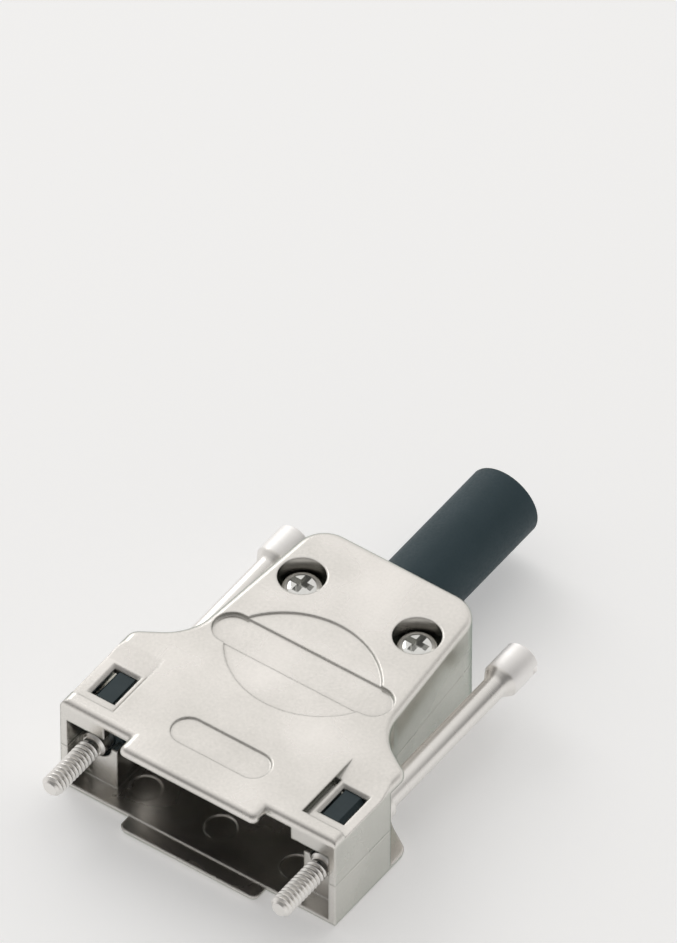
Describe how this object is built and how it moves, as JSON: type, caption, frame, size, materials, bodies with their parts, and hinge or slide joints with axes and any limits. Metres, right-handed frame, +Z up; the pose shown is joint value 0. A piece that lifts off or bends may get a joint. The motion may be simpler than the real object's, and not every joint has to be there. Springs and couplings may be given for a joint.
{
  "type": "d-sub hood",
  "caption": "Two-part die-cast metal hood for a D-sub plug, with cable strap, saddle, bend-relief boot, retaining clips and long jackscrews.",
  "frame": {"origin": "on the flat underside, at the middle of the width, in the plane of the connector face", "axes": "+X across the ears, +Y from the connector face to the cable exit, +Z up from the underside"},
  "size_m": [0.04, 0.0697, 0.015],
  "materials": {
    "shell_nickel": "satin nickel plate on die-cast zinc",
    "screw_nickel": "bright nickel plate",
    "strap_steel": "satin nickel plate",
    "saddle_zinc": "matt tumbled zinc",
    "collar_nickel": "bright nickel plate on die-cast zinc",
    "jackscrew_nickel": "bright nickel plate",
    "boot_rubber": "matt moulded rubber",
    "clip_plastic": "matt moulded plastic"
  },
  "bodies": {
    "lower_shell": {"lower_shell": "shell_nickel"},
    "cover": {"cover": "shell_nickel"},
    "cover_screw_left": {"cover_screw_left": "screw_nickel"},
    "cover_screw_right": {"cover_screw_right": "screw_nickel"},
    "strap": {"strap": "strap_steel"},
    "strap_screw_left": {"strap_screw_left": "screw_nickel"},
    "strap_screw_right": {"strap_screw_right": "screw_nickel"},
    "saddle": {"saddle": "saddle_zinc"},
    "collar_lower": {"collar_lower": "collar_nickel"},
    "collar_upper": {"collar_upper": "collar_nickel"},
    "boot": {"boot": "boot_rubber"},
    "jackscrew_left": {"jackscrew_left": "jackscrew_nickel"},
    "jackscrew_right": {"jackscrew_right": "jackscrew_nickel"},
    "clip_left": {"clip_left": "clip_plastic"},
    "clip_right": {"clip_right": "clip_plastic"}
  },
  "joints": [
    {"name": "cover_lift", "type": "slide", "parent": "lower_shell", "child": "cover", "axis": [0, 0, 1], "range_m": [0, 0.086]},
    {"name": "cover_screw_left_out", "type": "slide", "parent": "cover", "child": "cover_screw_left", "axis": [0, 0, 1], "range_m": [0, 0.009]},
    {"name": "cover_screw_right_out", "type": "slide", "parent": "cover", "child": "cover_screw_right", "axis": [0, 0, 1], "range_m": [0, 0.009]},
    {"name": "strap_lift", "type": "slide", "parent": "lower_shell", "child": "strap", "axis": [0, 0, 1], "range_m": [0, 0.044]},
    {"name": "strap_screw_left_out", "type": "slide", "parent": "strap", "child": "strap_screw_left", "axis": [0, 0, 1], "range_m": [0, 0.007]},
    {"name": "strap_screw_right_out", "type": "slide", "parent": "strap", "child": "strap_screw_right", "axis": [0, 0, 1], "range_m": [0, 0.007]},
    {"name": "saddle_lift", "type": "slide", "parent": "lower_shell", "child": "saddle", "axis": [0, 0, 1], "range_m": [0, 0.032]},
    {"name": "collar_upper_lift", "type": "slide", "parent": "lower_shell", "child": "collar_upper", "axis": [0, 0, 1], "range_m": [0, 0.033]},
    {"name": "boot_lift", "type": "slide", "parent": "lower_shell", "child": "boot", "axis": [0, 0, 1], "range_m": [0, 0.0215]},
    {"name": "collar_lower_lift", "type": "slide", "parent": "lower_shell", "child": "collar_lower", "axis": [0, 0, 1], "range_m": [0, 0.0115]},
    {"name": "clip_left_lift", "type": "slide", "parent": "lower_shell", "child": "clip_left", "axis": [0, 0, 1], "range_m": [0, 0.012]},
    {"name": "clip_right_lift", "type": "slide", "parent": "lower_shell", "child": "clip_right", "axis": [0, 0, 1], "range_m": [0, 0.012]},
    {"name": "jackscrew_left_spin", "type": "hinge", "parent": "clip_left", "child": "jackscrew_left", "pos_m": [-0.01665, 0, 0.0075], "axis": [0, 1, 0], "continuous": true},
    {"name": "jackscrew_right_spin", "type": "hinge", "parent": "clip_right", "child": "jackscrew_right", "pos_m": [0.01665, 0, 0.0075], "axis": [0, 1, 0], "continuous": true}
  ],
  "couplings": [
    {"joint": "strap_lift", "follows": "cover_lift", "ratio": 0.51163},
    {"joint": "strap_screw_left_out", "follows": "cover_lift", "ratio": 0.081395},
    {"joint": "strap_screw_right_out", "follows": "cover_lift", "ratio": 0.081395},
    {"joint": "saddle_lift", "follows": "cover_lift", "ratio": 0.37209},
    {"joint": "collar_upper_lift", "follows": "cover_lift", "ratio": 0.38372},
    {"joint": "boot_lift", "follows": "cover_lift", "ratio": 0.25},
    {"joint": "collar_lower_lift", "follows": "cover_lift", "ratio": 0.13372},
    {"joint": "clip_left_lift", "follows": "cover_lift", "ratio": 0.13953},
    {"joint": "clip_right_lift", "follows": "cover_lift", "ratio": 0.13953}
  ]
}
